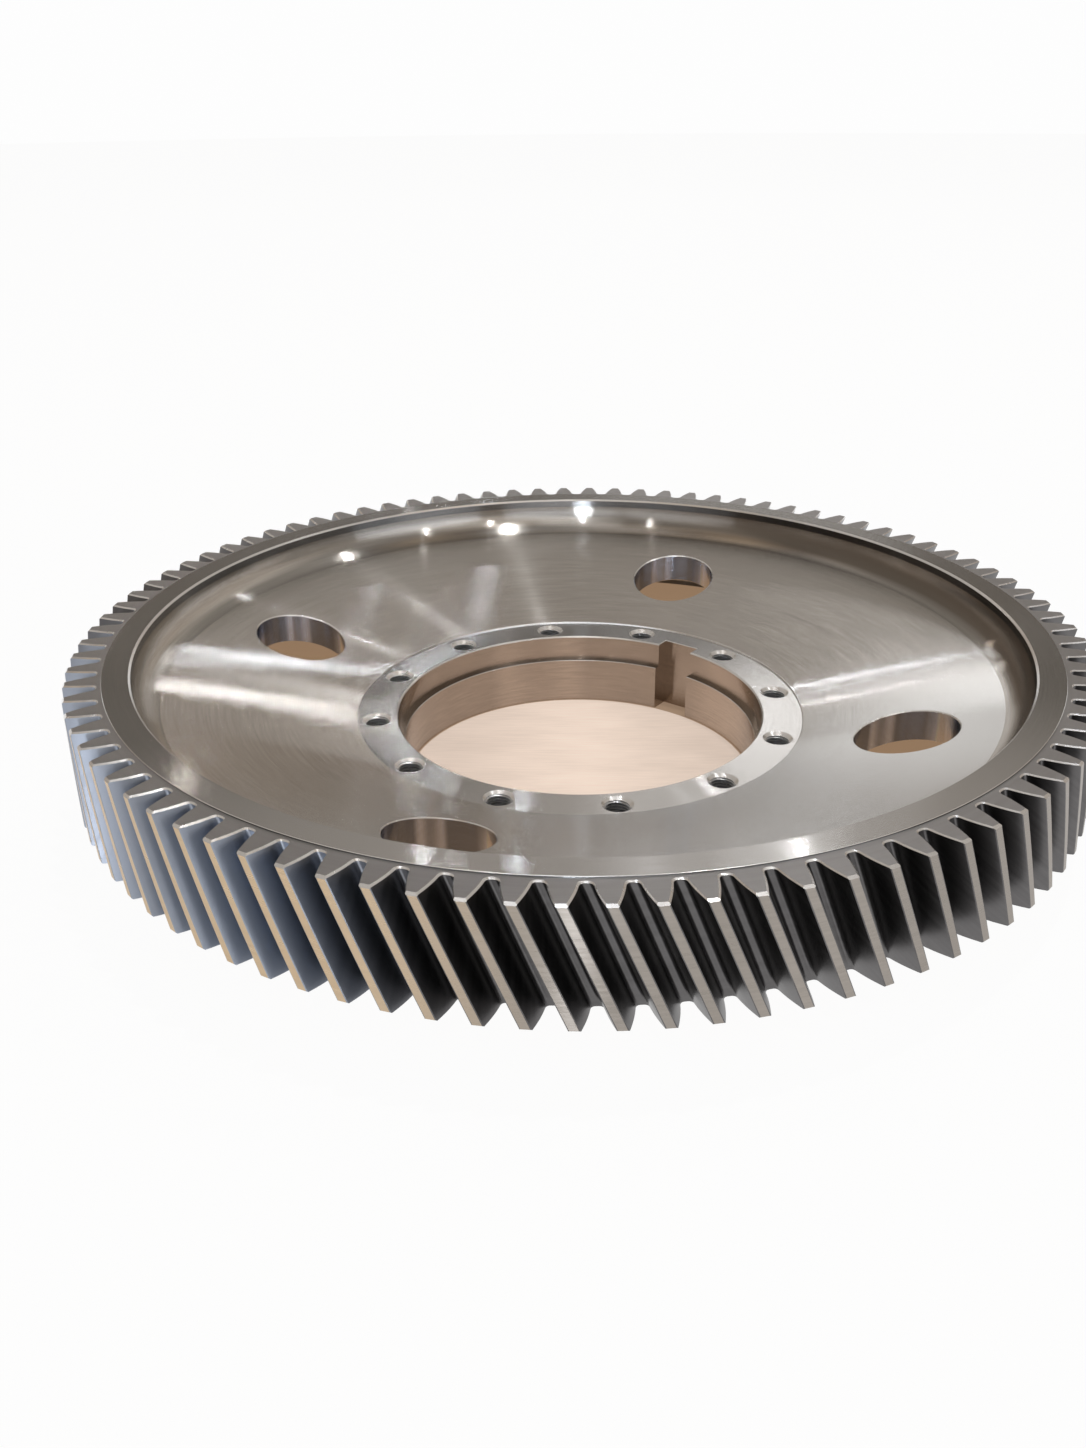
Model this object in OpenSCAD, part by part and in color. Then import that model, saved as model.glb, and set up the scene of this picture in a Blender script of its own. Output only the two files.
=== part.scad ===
// Large single-helical gear: one steel piece with a dished web, an offset
// hub with a keyed bore, twelve tapped holes and four lightening holes.
//
// Frame: +Z is the gear's axis and the hub's underside is z = 0. The gear
// lies as it is stored, on its hub, with the toothed rim clear of the ground.
// The keyway is centred on +X. Lengths are millimetres.

/* [Teeth] */
// Number of teeth
teeth = 90; // [60:1:120]
// Normal module
module_n = 8; // [5:0.5:12]
// Helix angle at the pitch cylinder, left hand
helix_deg = 22; // [8:1:30]
// Normal pressure angle
pressure_deg = 15; // [14.5:0.5:20]
// Addendum as a multiple of the normal module (deep teeth)
addendum_k = 1.3; // [1:0.05:1.4]
// Dedendum as a multiple of the normal module
dedendum_k = 1.65; // [1.25:0.05:1.8]
// Root fillet radius
root_fillet = 3; // [1.5:0.1:3.5]
// Bevel along each tooth's outline at the end faces
edge_bevel = 1; // [0.5:0.1:2]
// Bevel across the tip of each tooth at the end faces
tip_bevel = 1.7; // [0.5:0.1:3]

/* [Rim] */
// Width of the toothed face
face_w = 87; // [60:1:120]
// How far the rim ring stands proud of the tooth ends, each side
ring_proud = 1; // [0.5:0.1:2]
// Radial land between the tooth roots and the rim ring
ring_land = 4; // [2:0.5:6]
// Radial thickness of the rim under the tooth roots
rim_t = 25; // [18:1:40]
// Concave blend between rim and web
rim_fillet = 24; // [12:1:30]
// Bevel on the rim's inner edges
rim_bevel = 1.5; // [0.5:0.1:3]

/* [Web] */
// Angle of the dished web, rising from hub to rim
web_deg = 14.5; // [8:0.5:18]
// Web thickness, measured along the axis
web_t = 26; // [18:1:34]
// Number of lightening holes
light_n = 4; // [3:1:6]
// Lightening hole radius
light_r = 38; // [20:1:45]
// Radius of the circle that the lightening holes' centres lie on
light_pcr = 264; // [250:1:275]

/* [Hub] */
// Hub thickness
hub_h = 63; // [56:1:80]
// Radius of the turned hub face
hub_face_r = 182.5; // [180:0.5:190]
// How far the hub face is turned in below the web's inner end
hub_step = 1.5; // [0.5:0.1:3]
// Height of the tooth ends above the hub's underside
rim_lift = 46; // [30:1:50]
// Main bore radius
bore_r = 145; // [120:0.5:146]
// Counterbore radius at the top of the bore
cbore_r = 150; // [149:0.5:152]
// Counterbore depth
cbore_d = 22; // [10:1:30]
// Keyway width
key_w = 33; // [20:1:40]
// Distance from the axis to the floor of the keyway
key_floor = 161; // [153:0.5:163]
// Bevel on the bore's edges
bore_bevel = 1.2; // [0.5:0.1:2]

/* [Tapped holes] */
// Number of tapped holes
bolt_n = 12; // [6:2:12]
// Pitch circle radius of the tapped holes
bolt_pcr = 167; // [165:0.5:169]
// Tapping size radius, M20 coarse thread
tap_r = 8.75; // [5:0.05:10.5]
// Radius of the countersunk mouth
mouth_r = 11.9; // [8:0.1:12.5]
// Depth of the tapped holes
tap_d = 44; // [20:1:50]

/* [Hidden] */
steel_ground = [0.66, 0.65, 0.63];
cut_ext = 2;
hub_fillet = 10;
tan_web = tan(web_deg);

// Teeth: transverse module, the four radii, and the involute of the flank
mod_t = module_n / cos(helix_deg);
pitch_r = teeth * mod_t / 2;
tip_r = pitch_r + addendum_k * module_n;
root_r = pitch_r - dedendum_k * module_n;
alpha_t = atan(tan(pressure_deg) / cos(helix_deg));
base_r = pitch_r * cos(alpha_t);
out_r = tip_r + 4;

function inv_deg(a) = tan(a) * 180 / PI - a;
function alpha_at(r) = acos(min(1, base_r / r));
// Half of a tooth gap's angle at radius r
function gap_half(r) =
    90 / teeth - inv_deg(alpha_t) + inv_deg(alpha_at(r));
// Slope of the flank against the gap's centre line
function flank_slope(r) = gap_half(r) + alpha_at(r);

// Heights
z_low = rim_lift;
z_up = rim_lift + face_w;
z_mid = (z_low + z_up) / 2;
ring_r = root_r - ring_land;
rim_in_r = root_r - rim_t;
z_ring_up = z_up + ring_proud;
z_ring_low = z_low - ring_proud;

// Web: height of its upper face at radius r, and the blends at the rim
function web_up(r) = hub_h + hub_step + (r - hub_face_r) * tan_web;
function web_low(r) = web_up(r) - web_t;
blend_up = rim_fillet * tan((90 - web_deg) / 2);
blend_low = rim_fillet * tan((90 + web_deg) / 2);
hub_out_r = hub_face_r + 4;
hub_blend = hub_fillet * tan((90 - web_deg) / 2);

// The helix: angle of a section at height z, left hand
function turn_at(z) = -(z - z_up) * tan(helix_deg) / pitch_r * 180 / PI;

// Half outline of a tooth gap, from outside the tip to the root flat,
// moved outwards by off. The flank follows the involute.
fil_x = root_r + root_fillet;
fil_slope = flank_slope(fil_x);
fil_y = fil_x * sin(gap_half(fil_x)) - root_fillet / cos(fil_slope);
flank_rs = [out_r, tip_r - 0.5625 * module_n, tip_r - 1.625 * module_n];
fil_steps = [0, 0.5, 1];
function half_gap(off) = concat(
    [for (r = flank_rs)
        [r * cos(gap_half(r)) - off * sin(flank_slope(r)),
         r * sin(gap_half(r)) + off * cos(flank_slope(r))]],
    [for (s = fil_steps)
        let (a = 90 + fil_slope + s * (90 - fil_slope))
        [fil_x + (root_fillet + off) * cos(a),
         fil_y + (root_fillet + off) * sin(a)]]);
function gap_outline(off) =
    let (h = half_gap(off), n = len(h))
    concat(h, [for (i = [n - 1 : -1 : 0]) [h[i][0], -h[i][1]]]);
function turned(p, a, z) =
    [p[0] * cos(a) - p[1] * sin(a), p[0] * sin(a) + p[1] * cos(a), z];

// Sections of a gap from below the rim to above it: [height, widening].
// The widening at both ends cuts the bevel along the tooth outline.
gap_secs = [
    [z_low - cut_ext, edge_bevel + cut_ext],
    [z_low + edge_bevel, 0],
    [z_mid, 0],
    [z_up - edge_bevel, 0],
    [z_up + cut_ext, edge_bevel + cut_ext]];
gap_n = 2 * (len(flank_rs) + len(fil_steps));
gap_pts = [for (s = gap_secs) for (p = gap_outline(s[1]))
    turned(p, turn_at(s[0]), s[0])];
last_sec = (len(gap_secs) - 1) * gap_n;
gap_walls = [for (k = [0 : len(gap_secs) - 2]) for (i = [0 : gap_n - 1])
    let (j = (i + 1) % gap_n, b = k * gap_n, t = b + gap_n)
    for (f = [[b + i, t + i, t + j], [b + i, t + j, b + j]]) f];
gap_caps = [for (i = [0 : gap_n / 2 - 2])
    let (m = gap_n - 1 - i)
    for (f = [[i, i + 1, m - 1], [i, m - 1, m],
              [last_sec + i, last_sec + m - 1, last_sec + i + 1],
              [last_sec + i, last_sec + m, last_sec + m - 1]]) f];

// One tooth gap, centred on +X at the upper end face
module tooth_gap() {
    polyhedron(points = gap_pts, faces = concat(gap_walls, gap_caps), convexity = 4);
}

// Points of a round blend: centre, radius, first and last angle
function blend(c, r, a0, a1, n = 5) =
    [for (i = [0 : n]) let (a = a0 + (a1 - a0) * i / n)
        [c[0] + r * cos(a), c[1] + r * sin(a)]];

// Half section of the whole blank: hub, dished web, rim
cn_up = [rim_in_r - rim_fillet, web_up(rim_in_r) + blend_up];
cn_low = [rim_in_r - rim_fillet, web_low(rim_in_r) - blend_low];
cn_hub = [hub_out_r + hub_fillet, web_low(hub_out_r) - hub_blend];
blank = concat(
    [[bore_r + bore_bevel, 0],
     [bore_r, bore_bevel],
     [bore_r, hub_h - cbore_d],
     [cbore_r, hub_h - cbore_d],
     [cbore_r, hub_h - bore_bevel],
     [cbore_r + bore_bevel, hub_h],
     [hub_face_r, hub_h],
     [hub_face_r + 0.4, hub_h + hub_step]],
    blend(cn_up, rim_fillet, web_deg - 90, 0),
    [[rim_in_r, z_ring_up - rim_bevel],
     [rim_in_r + rim_bevel, z_ring_up],
     [ring_r, z_ring_up],
     [ring_r, z_up],
     [tip_r - tip_bevel, z_up],
     [tip_r, z_up - tip_bevel],
     [tip_r, z_low + tip_bevel],
     [tip_r - tip_bevel, z_low],
     [ring_r, z_low],
     [ring_r, z_ring_low],
     [rim_in_r + rim_bevel, z_ring_low],
     [rim_in_r, z_ring_low + rim_bevel]],
    blend(cn_low, rim_fillet, 0, 90 + web_deg),
    blend(cn_hub, hub_fillet, 90 + web_deg, 180, 3),
    [[hub_out_r, 1.5],
     [hub_out_r - 1.5, 0]]);

module blank_body() {
    rotate_extrude($fn = 180)
        polygon(blank);
}

// Lightening hole through the dished web
module light_hole() {
    translate([light_pcr, 0, 5])
        cylinder(h = z_up, r = light_r, $fn = 64);
}

// Tapped hole with a drill point and a countersunk mouth
module tapped_hole() {
    translate([bolt_pcr, 0, 0]) {
        translate([0, 0, hub_h - tap_d])
            cylinder(h = tap_d + 1, r = tap_r, $fn = 32);
        translate([0, 0, hub_h - tap_d - tap_r * 0.6])
            cylinder(h = tap_r * 0.6 + 0.01, r1 = 0.01, r2 = tap_r, $fn = 32);
        translate([0, 0, hub_h - (mouth_r - tap_r)])
            cylinder(h = mouth_r - tap_r + 1, r1 = tap_r, r2 = mouth_r + 1, $fn = 32);
    }
}

// Keyway along the whole bore
module keyway() {
    translate([0, -key_w / 2, -cut_ext])
        cube([key_floor, key_w, hub_h + 2 * cut_ext]);
}

module gear() {
    color(steel_ground)
        difference() {
            blank_body();
            for (k = [0 : teeth - 1])
                rotate([0, 0, k * 360 / teeth])
                    tooth_gap();
            for (k = [0 : light_n - 1])
                rotate([0, 0, 15 + k * 360 / light_n])
                    light_hole();
            for (k = [0 : bolt_n - 1])
                rotate([0, 0, 15 + k * 360 / bolt_n])
                    tapped_hole();
            keyway();
        }
}

gear();
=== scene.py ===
import math

import bpy
import numpy as np
from mathutils import Matrix, Vector

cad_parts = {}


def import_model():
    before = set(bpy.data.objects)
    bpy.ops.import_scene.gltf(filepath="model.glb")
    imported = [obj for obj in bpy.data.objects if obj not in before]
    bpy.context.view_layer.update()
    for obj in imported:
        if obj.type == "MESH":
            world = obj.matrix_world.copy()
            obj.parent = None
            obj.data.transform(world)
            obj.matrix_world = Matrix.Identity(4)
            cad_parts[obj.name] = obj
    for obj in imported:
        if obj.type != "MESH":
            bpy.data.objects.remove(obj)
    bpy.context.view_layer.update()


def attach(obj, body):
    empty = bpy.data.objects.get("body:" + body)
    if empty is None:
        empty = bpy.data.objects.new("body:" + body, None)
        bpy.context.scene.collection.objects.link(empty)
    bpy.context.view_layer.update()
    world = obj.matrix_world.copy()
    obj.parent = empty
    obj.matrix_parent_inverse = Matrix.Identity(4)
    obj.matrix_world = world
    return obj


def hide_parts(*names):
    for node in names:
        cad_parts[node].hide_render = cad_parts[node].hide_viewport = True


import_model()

# Sizes in mm, the same as in the part's source
TEETH = 90
MODULE = 8.0
HELIX = math.radians(22)
PRESSURE = math.radians(15)
ADDENDUM = 1.3 * MODULE
DEDENDUM = 1.65 * MODULE
ROOT_FILLET = 3.0
EDGE_BEVEL = 1.0
TIP_BEVEL = 1.7
Z_LOW = 46.0
Z_UP = 133.0
RING_PROUD = 1.0
RING_LAND = 4.0
RIM_T = 25.0
RIM_FILLET = 24.0
RIM_BEVEL = 1.5
WEB_ANGLE = math.radians(14.5)
WEB_T = 26.0
LIGHT_N = 4
LIGHT_R = 38.0
LIGHT_PCR = 264.0
HUB_H = 63.0
HUB_FACE_R = 182.5
HUB_STEP = 1.5
HUB_LAND = 4.0
HUB_FILLET = 10.0
FOOT_BEVEL = 1.5
BORE_R = 145.0
CBORE_R = 150.0
CBORE_D = 22.0
KEY_W = 33.0
KEY_FLOOR = 161.0
BORE_BEVEL = 1.2
BOLT_N = 12
BOLT_PCR = 167.0
TAP_R = 8.75
MOUTH_R = 11.9
TAP_D = 44.0
DRILL_POINT = 0.6
FIRST_HOLE = math.radians(15)

# Sizes in mm of what only the visual mesh has: finely broken edges, the bevels of the
# lightening holes and of the keyway's ends, and the thread
CORNER = 0.35
LIGHT_BEVEL = 0.8
KEY_BEVEL = 0.5
THREAD_R = 10.0
THREAD_PITCH = 2.5
# How far the thread starts above the hole's floor
THREAD_END = 6.0
# Heights between which the cutter of a lightening hole runs
LIGHT_FROM = 25.0
LIGHT_TO = 118.0
# How far the gap's cutter reaches past the tooth ends
CUT_EXT = 2.0
# Steps round the turned surfaces, and along a tooth gap between its bevels
TURNS = 360
GAP_STEPS = 7

# Angle from the photograph's frame, with the camera at -90 degrees, to the gear's
VIEW_TURN = math.radians(-54.6)

PITCH_R = TEETH * MODULE / math.cos(HELIX) / 2
TIP_R = PITCH_R + ADDENDUM
ROOT_R = PITCH_R - DEDENDUM
RING_R = ROOT_R - RING_LAND
RIM_IN_R = ROOT_R - RIM_T
HUB_OUT_R = HUB_FACE_R + HUB_LAND
ALPHA_T = math.atan(math.tan(PRESSURE) / math.cos(HELIX))
BASE_R = PITCH_R * math.cos(ALPHA_T)
TAN_WEB = math.tan(WEB_ANGLE)
MOUTH_D = MOUTH_R - TAP_R

# Material slots of the gear mesh
(WEB, HUB, BORE, RING, WALLS, ENDS, LANDS, FLANKS, HOLES, THREADS, EDGES, UNDER,
 BLEND) = range(13)


def web_up(r):
    """Height of the web's upper face at radius r."""
    return HUB_H + HUB_STEP + (r - HUB_FACE_R) * TAN_WEB


def web_low(r):
    return web_up(r) - WEB_T


def line(p0, p1, mat, steps):
    return {"kind": "line", "a": p0, "b": p1, "mat": mat, "steps": steps}


def arc(centre, radius, a0, a1, mat, steps):
    """Hollow blend of the section, whose centre lies outside the metal."""
    return {"kind": "arc", "c": centre, "r": radius, "a0": a0, "a1": a1,
            "mat": mat, "steps": steps}


def on_arc(s, a):
    return (s["c"][0] + s["r"] * math.cos(a), s["c"][1] + s["r"] * math.sin(a))


def blank_section():
    """Half section of the whole blank, as lines and arcs in the order of its outline."""
    q = math.pi / 2
    rise_up = RIM_FILLET * math.tan((q - WEB_ANGLE) / 2)
    rise_low = RIM_FILLET * math.tan((q + WEB_ANGLE) / 2)
    rise_hub = HUB_FILLET * math.tan((q - WEB_ANGLE) / 2)
    rc = RIM_IN_R - RIM_FILLET
    up = arc((rc, web_up(RIM_IN_R) + rise_up), RIM_FILLET, WEB_ANGLE - q, 0, BLEND, 22)
    low = arc((rc, web_low(RIM_IN_R) - rise_low), RIM_FILLET, 0, q + WEB_ANGLE, UNDER, 12)
    hub = arc((HUB_OUT_R + HUB_FILLET, web_low(HUB_OUT_R) - rise_hub), HUB_FILLET,
              q + WEB_ANGLE, math.pi, UNDER, 8)
    ledge = HUB_H - CBORE_D
    z_ru = Z_UP + RING_PROUD
    z_rl = Z_LOW - RING_PROUD
    c = CORNER
    # Start of each stretch, its slot or its arc, and its number of steps
    pts = [
        ((BORE_R + BORE_BEVEL, 0), EDGES, 1),
        ((BORE_R, BORE_BEVEL), BORE, 4),
        ((BORE_R, ledge - c), EDGES, 1),
        ((BORE_R + c, ledge), BORE, 1),
        ((CBORE_R, ledge), BORE, 3),
        ((CBORE_R, HUB_H - BORE_BEVEL), EDGES, 1),
        ((CBORE_R + BORE_BEVEL, HUB_H), HUB, 3),
        ((HUB_FACE_R - c, HUB_H), EDGES, 1),
        ((HUB_FACE_R, HUB_H + HUB_STEP - c), EDGES, 1),
        ((HUB_FACE_R + 1.4 * c, HUB_H + HUB_STEP + 0.4 * c * TAN_WEB), WEB, 8),
        (on_arc(up, up["a0"]), up, 0),
        (on_arc(up, up["a1"]), WALLS, 1),
        ((RIM_IN_R, z_ru - RIM_BEVEL), EDGES, 1),
        ((RIM_IN_R + RIM_BEVEL, z_ru), RING, 3),
        ((RING_R - c, z_ru), EDGES, 1),
        ((RING_R, z_ru - c), WALLS, 1),
        ((RING_R, Z_UP), ENDS, 2),
        ((TIP_R - TIP_BEVEL, Z_UP), EDGES, 1),
        ((TIP_R, Z_UP - TIP_BEVEL), LANDS, 4),
        ((TIP_R, Z_LOW + TIP_BEVEL), EDGES, 1),
        ((TIP_R - TIP_BEVEL, Z_LOW), ENDS, 2),
        ((RING_R, Z_LOW), WALLS, 1),
        ((RING_R, z_rl + c), EDGES, 1),
        ((RING_R - c, z_rl), RING, 3),
        ((RIM_IN_R + RIM_BEVEL, z_rl), EDGES, 1),
        ((RIM_IN_R, z_rl + RIM_BEVEL), WALLS, 1),
        (on_arc(low, low["a0"]), low, 0),
        (on_arc(low, low["a1"]), UNDER, 5),
        (on_arc(hub, hub["a0"]), hub, 0),
        (on_arc(hub, hub["a1"]), UNDER, 2),
        ((HUB_OUT_R, FOOT_BEVEL), EDGES, 1),
        ((HUB_OUT_R - FOOT_BEVEL, 0), UNDER, 3),
    ]
    segs = []
    for i, (p, what, steps) in enumerate(pts):
        nxt = pts[(i + 1) % len(pts)][0]
        segs.append(what if isinstance(what, dict) else line(p, nxt, what, steps))
    return segs


SECTION = blank_section()


def section_points():
    """Points round the section, and the slot of the stretch that starts at each."""
    out = []
    mats = []
    for s in SECTION:
        n = s["steps"]
        for i in range(n):
            t = i / n
            if s["kind"] == "line":
                a, b = s["a"], s["b"]
                out.append((a[0] + (b[0] - a[0]) * t, a[1] + (b[1] - a[1]) * t))
            else:
                out.append(on_arc(s, s["a0"] + (s["a1"] - s["a0"]) * t))
            mats.append(s["mat"])
    return out, mats


def mesh_object(name, verts, faces, mats):
    me = bpy.data.meshes.new(name)
    me.from_pydata([tuple(v) for v in verts], [], faces)
    for m in SLOTS:
        me.materials.append(m)
    me.polygons.foreach_set("material_index", mats)
    me.update()
    ob = bpy.data.objects.new(name, me)
    bpy.context.scene.collection.objects.link(ob)
    return ob


def blank():
    """The section, turned round the axis."""
    pts, mats = section_points()
    n = len(pts)
    verts = []
    for k in range(TURNS):
        # Half a step off, so no seam of the blank meets a hole's axis
        a = 2 * math.pi * (k + 0.5) / TURNS
        c, s = math.cos(a), math.sin(a)
        verts += [(r * c, r * s, z) for r, z in pts]
    faces = []
    face_mats = []
    for k in range(TURNS):
        b0 = k * n
        b1 = ((k + 1) % TURNS) * n
        for i in range(n):
            j = (i + 1) % n
            faces.append((b0 + i, b0 + j, b1 + j, b1 + i))
            face_mats.append(mats[i])
    return verts, faces, face_mats


def ring_solid(rings, mats):
    """Closed solid from rings of points, each counter-clockwise from above and higher
    than the one before. mats has a slot for each wall between two rings."""
    n = len(rings[0])
    verts = [p for ring in rings for p in ring]
    faces = [tuple(reversed(range(n)))]
    face_mats = [mats[0]]
    for k in range(len(rings) - 1):
        for i in range(n):
            j = (i + 1) % n
            faces.append((k * n + i, k * n + j, (k + 1) * n + j, (k + 1) * n + i))
            face_mats.append(mats[k])
    last = (len(rings) - 1) * n
    faces.append(tuple(range(last, last + n)))
    face_mats.append(mats[-1])
    return verts, faces, face_mats


def joined(parts):
    """One part from several: lists of points, faces and slots."""
    verts, faces, mats = [], [], []
    for v, f, m in parts:
        base = len(verts)
        verts += v
        faces += [tuple(base + i for i in face) for face in f]
        mats += m
    return verts, faces, mats


def turned_about_z(part, angle):
    c, s = math.cos(angle), math.sin(angle)
    v, f, m = part
    return [(x * c - y * s, x * s + y * c, z) for x, y, z in v], f, m


def repeated(part, count, start=0):
    """The part, count times round the gear's axis."""
    return joined([turned_about_z(part, start + k * 2 * math.pi / count)
                   for k in range(count)])


# Involute of the flank, as in the part's source
def inv(a):
    return math.tan(a) - a


def alpha_at(r):
    return math.acos(min(1, BASE_R / r))


def gap_half(r):
    return math.pi / 2 / TEETH - inv(ALPHA_T) + inv(alpha_at(r))


def flank_slope(r):
    return gap_half(r) + alpha_at(r)


FIL_X = ROOT_R + ROOT_FILLET
FIL_SLOPE = flank_slope(FIL_X)
FIL_Y = FIL_X * math.sin(gap_half(FIL_X)) - ROOT_FILLET / math.cos(FIL_SLOPE)
# Radius of each point on a flank, and the gap's extra widening there, which breaks
# the edge of the land
FLANK = [(TIP_R + 4, 2 * CORNER + 3.6), (TIP_R + CORNER, 2 * CORNER), (TIP_R - CORNER, 0),
         (TIP_R - 3, 0), (TIP_R - 6, 0), (TIP_R - 9.5, 0), (TIP_R - 13, 0), (TIP_R - 17, 0)]
FIL_STEPS = [0, 0.25, 0.5, 0.75, 1]


def half_gap(off):
    """Half outline of a tooth gap, from outside the tip to the root, widened by off."""
    pts = []
    for r, extra in FLANK:
        g = gap_half(r)
        s = flank_slope(r)
        o = off + extra
        pts.append((r * math.cos(g) - o * math.sin(s), r * math.sin(g) + o * math.cos(s)))
    for t in FIL_STEPS:
        a = math.pi / 2 + FIL_SLOPE + t * (math.pi / 2 - FIL_SLOPE)
        pts.append((FIL_X + (ROOT_FILLET + off) * math.cos(a),
                    FIL_Y + (ROOT_FILLET + off) * math.sin(a)))
    return pts


def turn_at(z):
    """Angle of the left-hand helix at height z, which may be an array."""
    return -(z - Z_UP) * math.tan(HELIX) / PITCH_R


def gap_ring(z, off):
    """Whole outline of the gap at height z, turned along the helix."""
    h = half_gap(off)
    pts = h + [(x, -y) for x, y in reversed(h)]
    a = turn_at(z)
    c, s = math.cos(a), math.sin(a)
    return [(x * c - y * s, x * s + y * c, z) for x, y in pts]


def gap_cutter():
    """All tooth gaps. The widening past both end faces cuts the bevel along the teeth."""
    e = EDGE_BEVEL
    levels = [(Z_LOW - CUT_EXT, e + CUT_EXT)]
    for k in range(GAP_STEPS + 1):
        levels.append((Z_LOW + e + (Z_UP - Z_LOW - 2 * e) * k / GAP_STEPS, 0))
    levels.append((Z_UP + CUT_EXT, e + CUT_EXT))
    mats = [FLANKS] * (len(levels) - 1)
    mats[0] = EDGES
    mats[-1] = EDGES
    return repeated(ring_solid([gap_ring(z, off) for z, off in levels], mats), TEETH)


def circle(cx, radius, z, n):
    """Ring about a vertical axis at (cx, 0); z is a height or a function of x, y."""
    out = []
    for k in range(n):
        a = 2 * math.pi * k / n
        x, y = cx + radius * math.cos(a), radius * math.sin(a)
        out.append((x, y, z(x, y) if callable(z) else z))
    return out


def light_cutter():
    """Lightening holes, with a bevel that follows the web's cones."""
    n = 96
    b = LIGHT_BEVEL
    wide = LIGHT_R + 2 * b

    def level(surface, dz):
        return lambda x, y: surface(math.hypot(x, y)) + dz
    rings = [
        circle(LIGHT_PCR, wide, LIGHT_FROM, n),
        circle(LIGHT_PCR, wide, level(web_low, -b), n),
        circle(LIGHT_PCR, LIGHT_R, level(web_low, b), n),
        circle(LIGHT_PCR, LIGHT_R, level(web_up, -b), n),
        circle(LIGHT_PCR, wide, level(web_up, b), n),
        circle(LIGHT_PCR, wide, LIGHT_TO, n),
    ]
    return repeated(ring_solid(rings, [HOLES, EDGES, HOLES, EDGES, HOLES]), LIGHT_N, FIRST_HOLE)


def thread_cutter():
    """Tapped holes: rows of points follow the thread's helix, four to a pitch."""
    n = 40
    z_bot = HUB_H - TAP_D + THREAD_END
    # The last turn runs into the countersink
    z_top = HUB_H - MOUTH_D + 0.5
    # Parts of a pitch: end of the crest, middle of the groove's floor and half its width
    crest, floor, half = 0.25, 0.6, 0.06
    marks = [(0.0, TAP_R), (crest, TAP_R), (floor - half, THREAD_R), (floor + half, THREAD_R)]
    per = len(marks)
    turns = int((z_top - z_bot) / THREAD_PITCH)
    rows = [(k + mark, r) for k in range(turns) for mark, r in marks] + [(turns, TAP_R)]
    m = len(rows)
    verts = []
    for t, r in rows:
        for i in range(n):
            a = 2 * math.pi * i / n
            z = z_bot + (t + i / n) * THREAD_PITCH
            verts.append((BOLT_PCR + r * math.cos(a), r * math.sin(a), z))
    faces = []
    for k in range(m - 1):
        for i in range(n - 1):
            faces.append((k * n + i, k * n + i + 1, (k + 1) * n + i + 1, (k + 1) * n + i))
        # The end of a row meets the start of the row a pitch above it
        if k + per < m - 1:
            faces.append((k * n + n - 1, (k + per) * n, (k + per + 1) * n, (k + 1) * n + n - 1))
    low = list(range(n)) + [k * n for k in range(per, 0, -1)]
    tip = len(verts)
    verts.append((BOLT_PCR, 0, HUB_H - TAP_D - TAP_R * DRILL_POINT))
    for i, p in enumerate(low):
        faces.append((low[(i + 1) % len(low)], p, tip))
    high = [(m - 1) * n + i for i in range(n)] + [(m - 2 - k) * n + n - 1 for k in range(per)]
    top = len(verts)
    verts.append((BOLT_PCR, 0, HUB_H + 6))
    for i, p in enumerate(high):
        faces.append((p, high[(i + 1) % len(high)], top))
    return repeated((verts, faces, [THREADS] * len(faces)), BOLT_N, FIRST_HOLE)


def mouth_cutter():
    """Countersunk mouths of the tapped holes, at 45 degrees."""
    n = 64
    below = 0.4
    above = 1
    cone = ring_solid([circle(BOLT_PCR, TAP_R - below, HUB_H - MOUTH_D - below, n),
                       circle(BOLT_PCR, MOUTH_R + above, HUB_H + above, n)], [EDGES])
    return repeated(cone, BOLT_N, FIRST_HOLE)


def key_cutter():
    """Keyway along the whole bore, with its edges broken at both ends."""
    e = KEY_BEVEL
    ext = 1.5
    h = KEY_W / 2
    x0 = BORE_R - 20
    x1 = KEY_FLOOR

    def ring(z, off):
        return [(x0, -h - off, z), (x1 + off, -h - off, z), (x1 + off, h + off, z),
                (x0, h + off, z)]
    return ring_solid([ring(-ext, e + ext), ring(e, 0), ring(HUB_H - e, 0),
                       ring(HUB_H + ext, e + ext)], [EDGES, BORE, EDGES])


def scaled(part):
    """The part with its points in metres."""
    return [(x / 1000, y / 1000, z / 1000) for x, y, z in part[0]], part[1], part[2]


def cut(target, cutter_part, name):
    """Take a closed cutter from the target's mesh."""
    cutter = mesh_object(name, *scaled(cutter_part))
    mod = target.modifiers.new(name, "BOOLEAN")
    mod.operation = "DIFFERENCE"
    mod.solver = "MANIFOLD"
    mod.object = cutter
    deps = bpy.context.evaluated_depsgraph_get()
    result = bpy.data.meshes.new_from_object(target.evaluated_get(deps))
    target.modifiers.clear()
    old = target.data
    target.data = result
    bpy.data.meshes.remove(old)
    used = cutter.data
    bpy.data.objects.remove(cutter)
    bpy.data.meshes.remove(used)


def nodes_of(name):
    """New material, its tree and its shader."""
    m = bpy.data.materials.new(name)
    m.use_nodes = True
    nt = m.node_tree
    nt.nodes.clear()
    out = nt.nodes.new("ShaderNodeOutputMaterial")
    bsdf = nt.nodes.new("ShaderNodeBsdfPrincipled")
    nt.links.new(bsdf.outputs["BSDF"], out.inputs["Surface"])
    return m, nt, bsdf


def feed(nt, target, value):
    """Link a socket to a node's input, or set a plain value there."""
    if isinstance(value, bpy.types.NodeSocket):
        nt.links.new(value, target)
    else:
        target.default_value = value


# Each of these adds a node and returns the socket, or sockets, with its result
def math_node(nt, op, *values):
    node = nt.nodes.new("ShaderNodeMath")
    node.operation = op
    for target, value in zip(node.inputs, values):
        feed(nt, target, value)
    return node.outputs[0]


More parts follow.
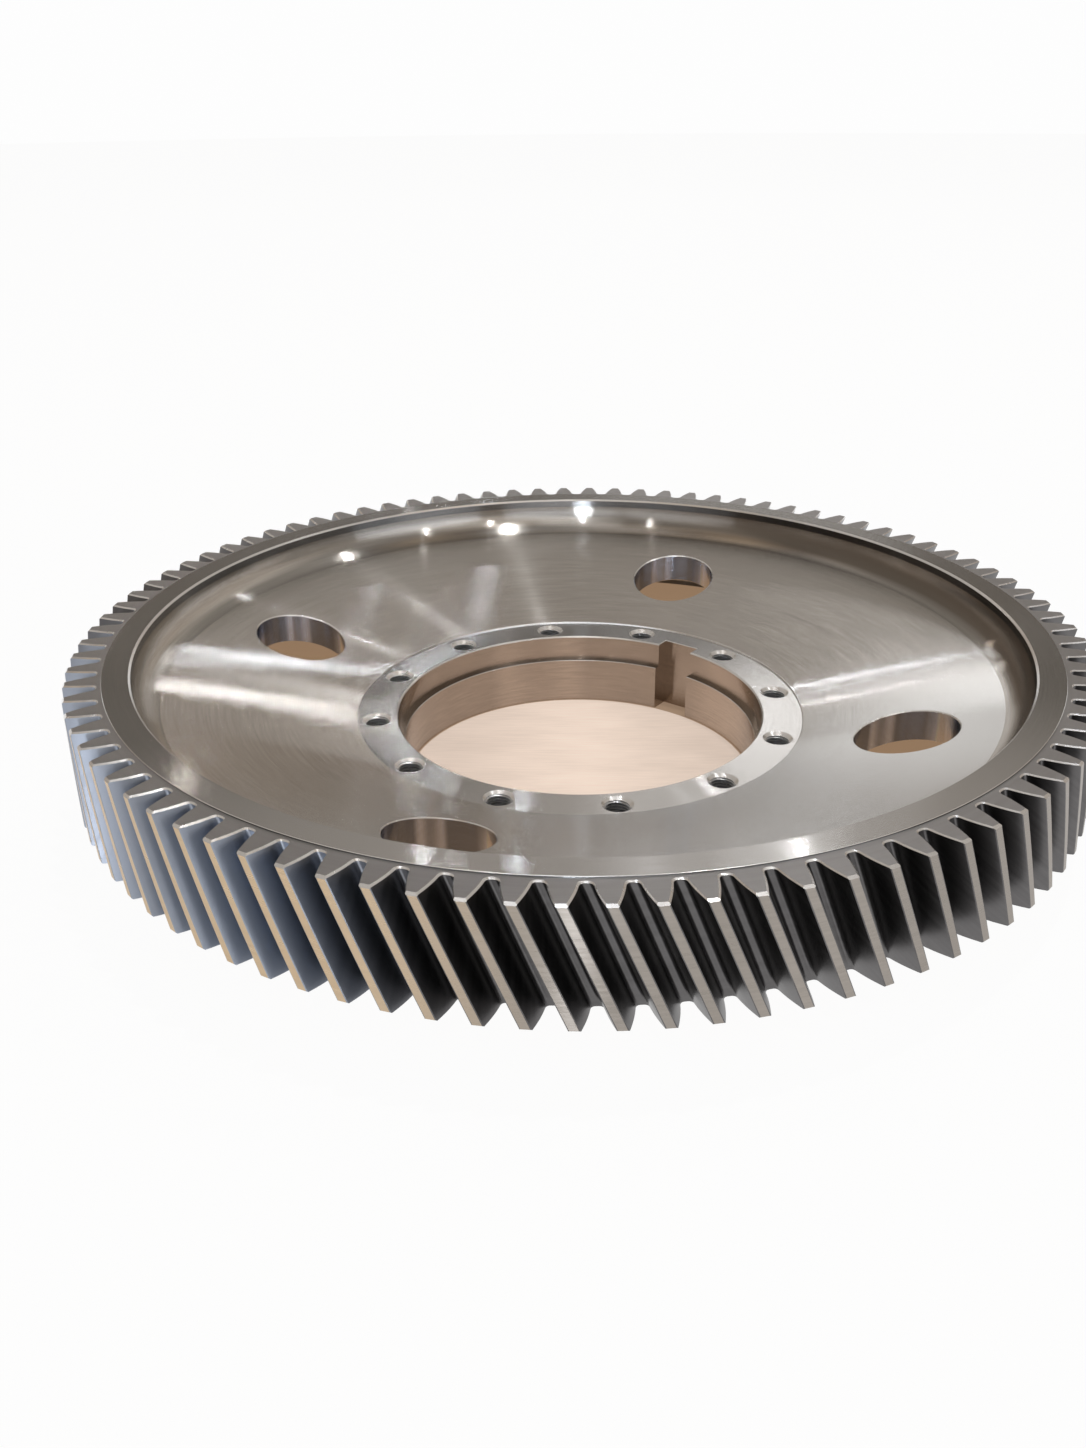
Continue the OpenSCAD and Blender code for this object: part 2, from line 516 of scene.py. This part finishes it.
def vector_node(nt, op, *values):
    node = nt.nodes.new("ShaderNodeVectorMath")
    node.operation = op
    for target, value in zip(node.inputs, values):
        feed(nt, target, value)
    return node.outputs["Value" if op in ("DOT_PRODUCT", "LENGTH") else "Vector"]


def scaled_vector(nt, vector, factor):
    node = nt.nodes.new("ShaderNodeVectorMath")
    node.operation = "SCALE"
    feed(nt, node.inputs[0], vector)
    feed(nt, node.inputs["Scale"], factor)
    return node.outputs["Vector"]


def combined(nt, *parts):
    node = nt.nodes.new("ShaderNodeCombineXYZ")
    for target, part in zip(node.inputs, parts):
        feed(nt, target, part)
    return node.outputs[0]


def separated(nt, vector):
    node = nt.nodes.new("ShaderNodeSeparateXYZ")
    nt.links.new(vector, node.inputs[0])
    return node.outputs


def map_range(nt, value, taken, given=(0, 1), smooth=False):
    """Map the taken range of a value to the given one, held at both ends."""
    node = nt.nodes.new("ShaderNodeMapRange")
    if smooth:
        node.interpolation_type = "SMOOTHSTEP"
    for label, number in zip(("From Min", "From Max", "To Min", "To Max"), (*taken, *given)):
        node.inputs[label].default_value = number
    nt.links.new(value, node.inputs["Value"])
    return node.outputs[0]


def noise(nt, vector, scale, detail):
    node = nt.nodes.new("ShaderNodeTexNoise")
    node.inputs["Scale"].default_value = scale
    node.inputs["Detail"].default_value = detail
    nt.links.new(vector, node.inputs["Vector"])
    return node.outputs["Fac"]


def mixed(nt, share, base, colour):
    """Colour socket base, with a share of a plain colour over it."""
    node = nt.nodes.new("ShaderNodeMix")
    node.data_type = "RGBA"
    under, over = [i for i in node.inputs if i.type == "RGBA"]
    nt.links.new(share, node.inputs[0])
    nt.links.new(base, under)
    over.default_value = (*colour, 1)
    return [o for o in node.outputs if o.type == "RGBA"][0]


# Grooves: counts per metre of the two finest waves, how much the pattern changes round
# the axis, its share in the tone, and its share in the tilt of the normal
FINE_WAVES = (2113, 3307)
GROOVE_DRIFT = 6.0
GROOVE_TONE = 0.6
GROOVE_TILT = 0.15
CLOUD_SCALE = 9.0
# Scale of the painted reflection patches, which follow the facing
PAINTED_BAND_SCALE = 1.5
# Values of the noises between which tone and roughness change, and between which the painted
# reflection patches change the tone
WEAR_SPAN = (0.35, 0.65)
PAINTED_BAND_SPAN = (0.40, 0.62)
ROUGH_SPREAD = 0.15
# Upward part of the normal at which a steep painted colour starts, and is full
STEEP_SPAN = (0.96, 0.75)


def turned_steel(name, colour, rough, aniso, grain, tone, fan=0, upright=False,
                 painted_side=None, steep=False, painted_reflection_bands=0):
    """Machined steel. Its grooves run round the gear's axis, or round a hole's where
    upright is set. fan tilts the normal across them, so a lamp's highlight becomes a
    streak along the radius or the axis. A painted colour towards one direction paints
    light or shade onto the faces turned that way: the direction, the colour towards it
    and the cosines between which it blends in; steep keeps it off faces that look up.
    A tone that varies with the facing is a painted reflection."""
    m, nt, bsdf = nodes_of(name)
    place = nt.nodes.new("ShaderNodeTexCoord").outputs["Object"]
    normal = nt.nodes.new("ShaderNodeNewGeometry").outputs["Normal"]
    outward = vector_node(nt, "MULTIPLY", place, (1, 1, 0))
    unit_out = vector_node(nt, "NORMALIZE", outward)
    if upright:
        across = combined(nt, 0, 0, 1)
    else:
        round_axis = vector_node(nt, "CROSS_PRODUCT", (0, 0, 1), unit_out)
        across = vector_node(nt, "CROSS_PRODUCT", round_axis, normal)

    # Grooves change fast with radius and height, slowly round the axis
    reach = math_node(nt, "ADD", vector_node(nt, "LENGTH", outward), separated(nt, place)[2])
    unit_x, unit_y = separated(nt, unit_out)[:2]
    grooves = noise(nt, combined(nt, math_node(nt, "MULTIPLY", reach, grain),
                                 math_node(nt, "MULTIPLY", unit_x, GROOVE_DRIFT),
                                 math_node(nt, "MULTIPLY", unit_y, GROOVE_DRIFT)),
                    scale=1, detail=3)
    clouds = noise(nt, place, CLOUD_SCALE, detail=5)
    wear = math_node(nt, "ADD", math_node(nt, "MULTIPLY", grooves, GROOVE_TONE),
                     math_node(nt, "MULTIPLY", clouds, 1 - GROOVE_TONE))

    ramp = nt.nodes.new("ShaderNodeValToRGB")
    for stop, position, gain in zip(ramp.color_ramp.elements, WEAR_SPAN, (1 - tone, 1 + tone)):
        stop.position = position
        stop.color = (*[min(1, c * gain) for c in colour], 1)
    nt.links.new(wear, ramp.inputs[0])
    steel = ramp.outputs[0]
    # Painted light or shade: a colour towards one direction, blended in by how far a face turns
    # that way
    if painted_side:
        angle, painted_side_colour, start, full = painted_side
        facing = vector_node(nt, "DOT_PRODUCT", unit_out, (math.cos(angle), math.sin(angle), 0))
        share = map_range(nt, facing, (start, full), smooth=True)
        if steep:
            slope = map_range(nt, separated(nt, normal)[2], STEEP_SPAN)
            share = math_node(nt, "MULTIPLY", share, slope)
        steel = mixed(nt, share, steel, painted_side_colour)
    # Painted reflection: tone patches that follow the facing, not the place
    if painted_reflection_bands > 0:
        reflection_patches = noise(nt, normal, PAINTED_BAND_SCALE, detail=1)
        gain = map_range(nt, reflection_patches, PAINTED_BAND_SPAN, (1 - painted_reflection_bands, 1 + 2 * painted_reflection_bands), smooth=True)
        steel = scaled_vector(nt, steel, gain)

    feed(nt, bsdf.inputs["Base Color"], steel)
    feed(nt, bsdf.inputs["Metallic"], 1)
    roughs = (rough * (1 - ROUGH_SPREAD), rough * (1 + ROUGH_SPREAD))
    feed(nt, bsdf.inputs["Roughness"], map_range(nt, wear, WEAR_SPAN, roughs))
    feed(nt, bsdf.inputs["Anisotropic"], aniso)
    if aniso > 0:
        feed(nt, bsdf.inputs["Tangent"], across)
    if fan > 0:
        # Two fine saw waves of the radius give a triangular spread of slopes, with no
        # pattern coarser than a groove
        saws = [math_node(nt, "FRACT", math_node(nt, "MULTIPLY", reach, count))
                for count in FINE_WAVES]
        waves = math_node(nt, "SUBTRACT", math_node(nt, "ADD", *saws), 1)
        rings = math_node(nt, "MULTIPLY", math_node(nt, "SUBTRACT", grooves, 0.5),
                          fan * GROOVE_TILT)
        tilt = math_node(nt, "ADD", math_node(nt, "MULTIPLY", waves, fan), rings)
        leaning = vector_node(nt, "ADD", normal, scaled_vector(nt, across, tilt))
        feed(nt, bsdf.inputs["Normal"], vector_node(nt, "NORMALIZE", leaning))
    return m


def view_angle(degrees):
    """Direction in the photograph's frame, where 0 is right and -90 is the camera."""
    return math.radians(degrees) + VIEW_TURN


# Tan of the floor sheet, painted onto the lands as a reflection
PAINTED_TAN_REFLECTION = (0.66, 0.50, 0.33)

# Name, colour, roughness, anisotropy, grooves per metre, spread of tone and fan, in
# the order of the slots
SLOTS = [
    # Painted light: the web is lighter and cooler towards the front right
    turned_steel("web_turned", (0.61, 0.59, 0.565), 0.125, 1.0, 420, 0.07, 0.21,
                 painted_side=(view_angle(-60), (0.645, 0.66, 0.67), 0.1, 0.95)),
    # Painted light: the hub is lighter towards the right front
    turned_steel("hub_ground", (0.33, 0.33, 0.33), 0.15, 1.0, 900, 0.05, 0.22,
                 painted_side=(view_angle(-40), (0.72, 0.72, 0.72), -0.4, 0.8)),
    # Painted shade and reflection: the dark brown stands in for the tan floor reflected in shade,
    # and the tone changes with facing
    turned_steel("bore_honed", (0.42, 0.36, 0.31), 0.15, 1.0, 600, 0.12, 0.30, painted_reflection_bands=0.12),
    # Painted light: the ring is dark, and light towards the front
    turned_steel("ring_turned", (0.22, 0.215, 0.205), 0.14, 1.0, 700, 0.08, 0.25,
                 painted_side=(view_angle(-82), (0.64, 0.64, 0.64), 0.42, 0.98)),
    # Painted shade: the rim walls turn near black towards the right, and their tone changes with
    # facing
    turned_steel("rim_walls", (0.32, 0.325, 0.33), 0.14, 1.0, 600, 0.10, 0.40,
                 painted_side=(view_angle(10), (0.05, 0.045, 0.04), 0.2, 0.85), painted_reflection_bands=0.35),
    turned_steel("tooth_ends", (0.37, 0.365, 0.37), 0.42, 0.3, 400, 0.07, 0.03),
    # Painted reflection: the lands turn tan towards the left front, where they face the tan floor
    turned_steel("tooth_lands", (0.36, 0.325, 0.29), 0.30, 1.0, 500, 0.12, 0.10,
                 painted_side=(view_angle(-132), PAINTED_TAN_REFLECTION, 0.75, 0.97)),
    # Painted shade and reflection: the flanks are near black, and blue-grey towards the left
    # front
    turned_steel("tooth_flanks", (0.135, 0.13, 0.13), 0.33, 0.3, 200, 0.15, 0.03, upright=True,
                 painted_side=(view_angle(-145), (0.30, 0.325, 0.375), 0.70, 0.92)),
    # Painted reflection: the tone of the hole walls changes with their facing
    turned_steel("hole_walls", (0.60, 0.66, 0.80), 0.12, 1.0, 700, 0.08, 0.40, upright=True,
                 painted_reflection_bands=0.5),
    turned_steel("threads", (0.62, 0.63, 0.65), 0.30, 0.0, 300, 0.1, 0, upright=True),
    # Partly painted highlight: the bevels are real, and their near-white colour stands in for
    # glints along them
    turned_steel("broken_edges", (0.95, 0.95, 0.95), 0.25, 0.0, 300, 0.03, 0, upright=True),
    turned_steel("underside", (0.50, 0.49, 0.47), 0.34, 0.9, 400, 0.08, 0.05),
    # Painted shade and reflection: the blend turns dark brown towards the right back, off faces
    # that look up, and its tone changes with facing
    turned_steel("rim_blend", (0.57, 0.55, 0.52), 0.125, 1.0, 420, 0.07, 0.26,
                 painted_side=(view_angle(20), (0.27, 0.235, 0.20), 0.2, 0.9), steep=True, painted_reflection_bands=0.2),
]

gear = mesh_object("gear_visual", *scaled(blank()))
cut(gear, gap_cutter(), "gaps")
cut(gear, light_cutter(), "lightening")
cut(gear, thread_cutter(), "threads")
cut(gear, mouth_cutter(), "mouths")
cut(gear, key_cutter(), "keyway")


def section_normal(r, z, seg_of):
    """Exact section normal at r, z on each chosen section line or arc."""
    nr = np.zeros_like(r)
    nz = np.zeros_like(z)
    for i, s in enumerate(SECTION):
        pick = seg_of == i
        if not pick.any():
            continue
        if s["kind"] == "line":
            dr = s["b"][0] - s["a"][0]
            dz = s["b"][1] - s["a"][1]
            size = math.hypot(dr, dz)
            nr[pick] = -dz / size
            nz[pick] = dr / size
        else:
            dr = s["c"][0] - r[pick]
            dz = s["c"][1] - z[pick]
            size = np.hypot(dr, dz)
            nr[pick] = dr / size
            nz[pick] = dz / size
    return nr, nz


# A face's centre may lie this many radians past the end of its arc
ARC_SLACK = 0.02
# Millimetres of distance that weigh as much as facing a right angle away
FACING_COST = 2


def section_nearest(r, z, nr, nz):
    """Index of the section piece that each point lies on and faces with."""
    best = np.full(r.shape, np.inf)
    which = np.zeros(r.shape, int)
    for i, s in enumerate(SECTION):
        if s["kind"] == "line":
            a = np.array(s["a"])
            d = np.array(s["b"]) - a
            size = math.hypot(*d)
            t = ((r - a[0]) * d[0] + (z - a[1]) * d[1]) / size ** 2
            t = np.clip(t, 0, 1)
            dist = np.hypot(r - a[0] - t * d[0], z - a[1] - t * d[1])
            sr, sz = -d[1] / size, d[0] / size
        else:
            dr = r - s["c"][0]
            dz = z - s["c"][1]
            dist = np.abs(np.hypot(dr, dz) - s["r"])
            a = np.arctan2(dz, dr)
            off = np.minimum(np.abs(a - s["a0"]), np.abs(a - s["a1"]))
            inside = (a > s["a0"] - ARC_SLACK) & (a < s["a1"] + ARC_SLACK)
            dist = dist + np.where(inside, 0, off * s["r"])
            size = np.maximum(np.hypot(dr, dz), 1e-6)
            sr, sz = -dr / size, -dz / size
        cost = dist + FACING_COST * (1 - (sr * nr + sz * nz))
        better = cost < best
        best[better] = cost[better]
        which[better] = i
    return which


# How far past a hole's radius its wall and its mouth reach, in mm
WALL_REACH = 2
MOUTH_REACH = 0.5
# Largest part of a turned face's normal that may lie along the turning
MAX_SIDEWAYS = 0.08
# Cosines below which an exact normal doesn't fit its face, on a flank and elsewhere
FLANK_FIT = 0.75
FIT = 0.9


def read(collection, name, width=1, kind=float):
    """One property of a mesh's vertices, loops or faces as an array."""
    flat = np.zeros(len(collection) * width, kind)
    collection.foreach_get(name, flat)
    return flat.reshape(-1, width) if width > 1 else flat


def keyway_faces(centre, radius, slots):
    """Faces that the keyway's cutter left, whose slots the section has too."""
    return ((np.abs(centre[:, 1]) < KEY_W / 2 + 3) & (centre[:, 0] > BORE_R - 3)
            & (centre[:, 2] < HUB_H) & (radius > BORE_R + 0.4) & (radius < KEY_FLOOR + 4)
            & np.isin(slots, [BORE, EDGES]))


def round_holes(n, p, loops, count, pcr, reach, lift):
    """Turn normals near each of a ring of holes to the hole's axis, raised by lift."""
    for k in range(count):
        a = FIRST_HOLE + k * 2 * math.pi / count
        dx = pcr * math.cos(a) - p[:, 0]
        dy = pcr * math.sin(a) - p[:, 1]
        near = loops & (np.hypot(dx, dy) < reach)
        dx, dy = dx[near], dy[near]
        d = np.hypot(dx, dy) / math.cos(lift)
        n[near] = np.c_[dx / d, dy / d, np.full_like(d, math.sin(lift))]


def flank_normals(p):
    """Normals of the involute, the root fillet and the root flat, tilted by the helix."""
    rad = np.hypot(p[:, 0], p[:, 1])
    turn = turn_at(p[:, 2])
    ang = np.arctan2(p[:, 1], p[:, 0]) - turn
    step = 2 * math.pi / TEETH
    gap = np.round(ang / step)
    local = ang - gap * step
    x = rad * np.cos(local)
    y = np.abs(rad * np.sin(local))
    al = np.arccos(np.minimum(1, BASE_R / rad))
    slope = math.pi / 2 / TEETH - inv(ALPHA_T) + (np.tan(al) - al) + al
    lx = np.sin(slope)
    ly = -np.cos(slope)
    fa = np.arctan2(y - FIL_Y, x - FIL_X)
    in_fillet = (fa > math.pi / 2 + FIL_SLOPE) & (y > FIL_Y)
    lx = np.where(in_fillet, -np.cos(fa), lx)
    ly = np.where(in_fillet, -np.sin(fa), ly)
    # The root flat, with a little room for rounding
    flat = (x < ROOT_R + 0.5) & (y < FIL_Y + 0.05)
    lx = np.where(flat, 1.0, lx)
    ly = np.where(flat, 0.0, ly) * np.sign(local)
    whole = gap * step + turn
    nx = lx * np.cos(whole) - ly * np.sin(whole)
    ny = lx * np.sin(whole) + ly * np.cos(whole)
    # The surface turns by tan(helix) / pitch radius for each mm of height
    nz = math.tan(HELIX) / PITCH_R * (p[:, 0] * ny - p[:, 1] * nx)
    vec = np.c_[nx, ny, nz]
    return vec / np.linalg.norm(vec, axis=1)[:, None]


def set_normals(ob):
    """Exact normals at each face's corners, so the facets of the cuts don't show."""
    me = ob.data
    fn = read(me.polygons, "normal", 3)
    fc = read(me.polygons, "center", 3) * 1000
    face_mat = read(me.polygons, "material_index", kind=int)
    start = read(me.polygons, "loop_start", kind=int)
    total = read(me.polygons, "loop_total", kind=int)
    order = np.concatenate([np.arange(s, s + t) for s, t in zip(start, total)])
    loop_face = np.zeros(len(me.loops), int)
    loop_face[order] = np.repeat(np.arange(len(me.polygons)), total)
    p = (read(me.vertices, "co", 3) * 1000)[read(me.loops, "vertex_index", kind=int)]
    mat = face_mat[loop_face]
    face_n = fn[loop_face]
    n = face_n.copy()

    # A turned face lies on the section, faces with it and has its slot
    fr = np.hypot(fc[:, 0], fc[:, 1])
    f_nr = (fn[:, 0] * fc[:, 0] + fn[:, 1] * fc[:, 1]) / fr
    seg = section_nearest(fr, fc[:, 2], f_nr, fn[:, 2])
    seg_mat = np.array([s["mat"] for s in SECTION])[seg]
    sideways = np.abs(-fn[:, 0] * fc[:, 1] + fn[:, 1] * fc[:, 0]) / fr
    turned = (face_mat == seg_mat) & (sideways < MAX_SIDEWAYS)
    turned &= ~np.isin(face_mat, [FLANKS, HOLES, THREADS]) & ~keyway_faces(fc, fr, face_mat)
    tl = turned[loop_face]
    rad = np.hypot(p[tl, 0], p[tl, 1])
    nr, nz = section_normal(rad, p[tl, 2], seg[loop_face][tl])
    n[tl] = np.c_[nr * (p[tl, 0] / rad), nr * (p[tl, 1] / rad), nz]

    round_holes(n, p, mat == HOLES, LIGHT_N, LIGHT_PCR, LIGHT_R + WALL_REACH, 0)
    round_holes(n, p, (mat == EDGES) & ~tl, BOLT_N, BOLT_PCR, MOUTH_R + MOUTH_REACH, math.pi / 4)
    flank = mat == FLANKS
    n[flank] = flank_normals(p[flank])

    # Anything that disagrees with its own face keeps the face's normal
    bad = (n * face_n).sum(1) < np.where(flank, FLANK_FIT, FIT)
    n[bad] = face_n[bad]
    me.polygons.foreach_set("use_smooth", np.ones(len(me.polygons), bool))
    me.normals_split_custom_set([tuple(v) for v in n])
    me.update()


set_normals(gear)
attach(gear, "root")
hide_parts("gear")
tris = sum(len(f.vertices) - 2 for f in gear.data.polygons)
print("gear_visual triangles", tris)

# Camera, fitted to the photograph's edges. Distances are in tip radii
SCALE = TIP_R / 1000
CAM_DIST = 2.8
CAM_ELEV = math.radians(26.208)
CAM_TILT = math.radians(26.208)
CAM_PAN = math.radians(-1.734)
CAM_ROLL = math.radians(-0.538)
CAM_FOCAL_PX = 1334.99
PHOTO_H = 1448
SENSOR = 36


def camera():
    cam = bpy.data.cameras.new("camera")
    cam.lens = CAM_FOCAL_PX / PHOTO_H * SENSOR
    cam.sensor_width = SENSOR
    cam.clip_end = 100
    ob = bpy.data.objects.new("camera", cam)
    bpy.context.scene.collection.objects.link(ob)
    fw = Vector((math.sin(CAM_PAN) * math.cos(CAM_TILT), math.cos(CAM_PAN) * math.cos(CAM_TILT),
                 -math.sin(CAM_TILT)))
    rt = fw.cross(Vector((0, 0, 1))).normalized()
    up = rt.cross(fw)
    c, s = math.cos(CAM_ROLL), math.sin(CAM_ROLL)
    rot = Matrix((c * rt + s * up, -s * rt + c * up, -fw)).transposed()
    turn = Matrix.Rotation(VIEW_TURN, 3, "Z")
    pos = turn @ (Vector((0, -CAM_DIST * math.cos(CAM_ELEV), CAM_DIST * math.sin(CAM_ELEV)))
                  * SCALE) + Vector((0, 0, Z_LOW / 1000))
    ob.matrix_world = Matrix.Translation(pos) @ (turn @ rot).to_4x4()
    bpy.context.scene.camera = ob


camera()

scene = bpy.context.scene
scene.view_settings.view_transform = "Standard"


def stage_object(name, verts, faces, material):
    me = bpy.data.meshes.new(name)
    me.from_pydata(verts, [], faces)
    me.materials.append(material)
    ob = bpy.data.objects.new(name, me)
    scene.collection.objects.link(ob)


def matt(name, colour, glow, hairlines_and_streak=False):
    """Matt surface that also glows a little, so it stays pale and keeps a shadow. On the
    sheets under the gear the glow and tone are painted light and shade. The hairline
    option adds hairlines across the view and a painted reflection, a lighter streak
    away from the camera."""
    m, nt, bsdf = nodes_of(name)
    bsdf.inputs["Base Color"].default_value = (*[c * (1 - glow) for c in colour], 1)
    bsdf.inputs["Roughness"].default_value = 0.9
    bsdf.inputs["Specular IOR Level"].default_value = 0.0
    bsdf.inputs["Emission Color"].default_value = (*colour, 1)
    bsdf.inputs["Emission Strength"].default_value = glow
    if not hairlines_and_streak:
        return m
    place = nt.nodes.new("ShaderNodeTexCoord").outputs["Object"]
    right = (math.cos(VIEW_TURN), math.sin(VIEW_TURN), 0)
    back = (-math.sin(VIEW_TURN), math.cos(VIEW_TURN), 0)

    def along(vector, gain):
        return vector_node(nt, "DOT_PRODUCT", place, tuple(c * gain for c in vector))

    def marks(right_gain, back_gain, tones):
        """Pattern with so many marks a metre each way, between two tones."""
        vector = combined(nt, along(right, right_gain), along(back, back_gain), 0)
        return map_range(nt, noise(nt, vector, scale=1, detail=4), (0.3, 0.7), tones,
                         smooth=True)

    hairlines = marks(25, 500, (0.96, 1.025))
    stains = marks(12, 30, (0.95, 1.03))
    # Painted reflection: a lighter streak along the line away from the camera, darker to its
    # sides
    sideways = math_node(nt, "ABSOLUTE", along(right, 1))
    painted_streak = map_range(nt, sideways, (0, 0.12), (1.06, 0.90), smooth=True)
    tone = math_node(nt, "MULTIPLY", math_node(nt, "MULTIPLY", hairlines, stains), painted_streak)
    for label, part in (("Base Color", 1 - glow), ("Emission Color", 1)):
        feed(nt, bsdf.inputs[label], scaled_vector(nt, [c * part for c in colour], tone))
    return m


# Radius of the floor in metres, and the angles of the points round a sheet
FAR = 12.0
ROUND_N = 64
ROUND = [2 * math.pi * k / ROUND_N for k in range(ROUND_N)]


def ring_sheet(name, inner, outer, z, material):
    """Flat ring about the gear's axis, or a disc where inner is 0. Lengths are metres."""
    n = ROUND_N
    if inner == 0:
        radii = (outer,)
        faces = [tuple(range(n))]
    else:
        radii = (inner, outer)
        faces = [(k, n + k, n + (k + 1) % n, (k + 1) % n) for k in range(n)]
    verts = [(r * math.cos(a), r * math.sin(a), z) for r in radii for a in ROUND]
    stage_object(name, verts, faces, material)


ring_sheet("floor", 0, FAR, 0, matt("floor_white", (1.0, 1.0, 1.0), 0.95))
# What shows through the lightening holes and the bore; the gear hides the rest. The brown sheets
# are darker where the gear shades the floor, painted shade, and the tan disc in the bore glows,
# painted light.
ring_sheet("sheet_under_web", 0.206, 0.358, 0.044, matt("sheet_brown_painted_shade", (0.37, 0.24, 0.145), 0.75))
ring_sheet("sheet_under_hub", 0, 0.184, 0.0004, matt("floor_brown_painted_shade", (0.50, 0.35, 0.24), 0.4))
ring_sheet("floor_disc", 0, 0.144, 0.0008,
           matt("disc_tan_painted_light", (0.97, 0.80, 0.68), 0.6, hairlines_and_streak=True))

# Sine of the elevation, and the hall's tone there
HALL = [
    (0.06, (0.985, 0.985, 0.985)),
    (0.11, (0.36, 0.31, 0.26)),
    (0.20, (0.27, 0.215, 0.17)),
    (0.32, (0.33, 0.29, 0.25)),
    (0.45, (0.43, 0.39, 0.35)),
    (0.60, (0.36, 0.33, 0.295)),
    (0.82, (0.44, 0.405, 0.37)),
    (0.88, (0.17, 0.15, 0.135)),
    (0.93, (0.50, 0.40, 0.30)),
    (0.965, (0.15, 0.13, 0.12)),
    (0.985, (0.40, 0.38, 0.36)),
]


def world():
    """Hall that is white at the horizon and taupe above it."""
    w = bpy.data.worlds.new("studio")
    scene.world = w
    w.use_nodes = True
    nt = w.node_tree
    nt.nodes.clear()
    new, link = nt.nodes.new, nt.links.new
    out = new("ShaderNodeOutputWorld")
    room = new("ShaderNodeBackground")
    direction = new("ShaderNodeTexCoord").outputs["Generated"]
    ramp = new("ShaderNodeValToRGB")
    stops = ramp.color_ramp.elements
    for i, (height, tone) in enumerate(HALL):
        # A new ramp has two stops already
        stop = stops[i] if i < 2 else stops.new(height)
        stop.position = height
        stop.color = (*tone, 1)
    link(separated(nt, direction)[2], ramp.inputs[0])
    link(ramp.outputs[0], room.inputs["Color"])
    link(room.outputs[0], out.inputs["Surface"])


world()

# Distance of the lamps in metres, and the height of the point that they face
LAMP_DIST = 6.0
LAMP_AIM_Z = 0.1
WHITE = (1, 1, 1)
WARM = (1.0, 0.93, 0.84)
COOL = (0.86, 0.92, 1.0)


def lamp(name, az, el, size_deg, light_on_gear, colour):
    """Soft round lamp aimed at the gear. az is measured from the camera's right, and
    light_on_gear is what falls on a surface that faces the lamp."""
    light = bpy.data.lights.new(name, "AREA")
    light.shape = "DISK"
    light.size = 2 * LAMP_DIST * math.tan(math.radians(size_deg) / 2)
    # A small disc of power P gives P / (pi d**2) at the distance d straight ahead
    light.energy = light_on_gear * math.pi * LAMP_DIST ** 2
    light.color = colour
    ob = bpy.data.objects.new(name, light)
    scene.collection.objects.link(ob)
    a = view_angle(az)
    e = math.radians(el)
    aim = Vector((math.cos(a) * math.cos(e), math.sin(a) * math.cos(e), math.sin(e)))
    ob.location = aim * LAMP_DIST + Vector((0, 0, LAMP_AIM_Z))
    ob.rotation_euler = (-aim).to_track_quat("-Z", "Y").to_euler()


# Name, azimuth, elevation, size as an angle, light on the gear, colour
LAMPS = [
    ("over_back", 32, 80.5, 0.9, 0.45, WHITE),
    ("over_right", 52, 59.4, 0.9, 0.13, WHITE),
    ("right_front", -30, 51.5, 0.7, 0.06, WHITE),
    ("front_right", -56.5, 49.6, 0.7, 0.06, WHITE),
    ("front", -91, 46, 0.8, 0.14, COOL),
    ("front_low", -91, 3.2, 5.5, 0.35, COOL),
    ("front_left", -119, 57.6, 0.7, 0.06, WHITE),
    ("front_top", -90, 64, 18, 0.05, WHITE),
    ("right_cool", -40, 9, 40, 0.36, COOL),
    ("front_cool", -85, 11, 36, 0.28, COOL),
    ("left_cool", -120, 10, 34, 0.26, COOL),
    ("back_high", 71, 43.5, 0.5, 0.025, WHITE),
    ("back_low", 97.5, 25, 0.35, 0.007, WHITE),
    ("back_low_b", 96, 25.5, 0.35, 0.003, WHITE),
    ("back_left", 110, 26, 0.5, 0.010, WARM),
    ("back_mid", 93.4, 30.3, 0.6, 0.007, COOL),
    ("back_low_c", 98.1, 28.2, 0.4, 0.003, COOL),
    ("back_soft", 88, 27, 4, 0.002, WHITE),
    ("back_soft_b", 80, 26.5, 6, 0.010, WHITE),
    ("back_soft_c", 82, 22, 13, 0.020, WHITE),
    ("back_soft_d", 86, 13, 12, 0.012, WHITE),
]
for row in LAMPS:
    lamp(*row)
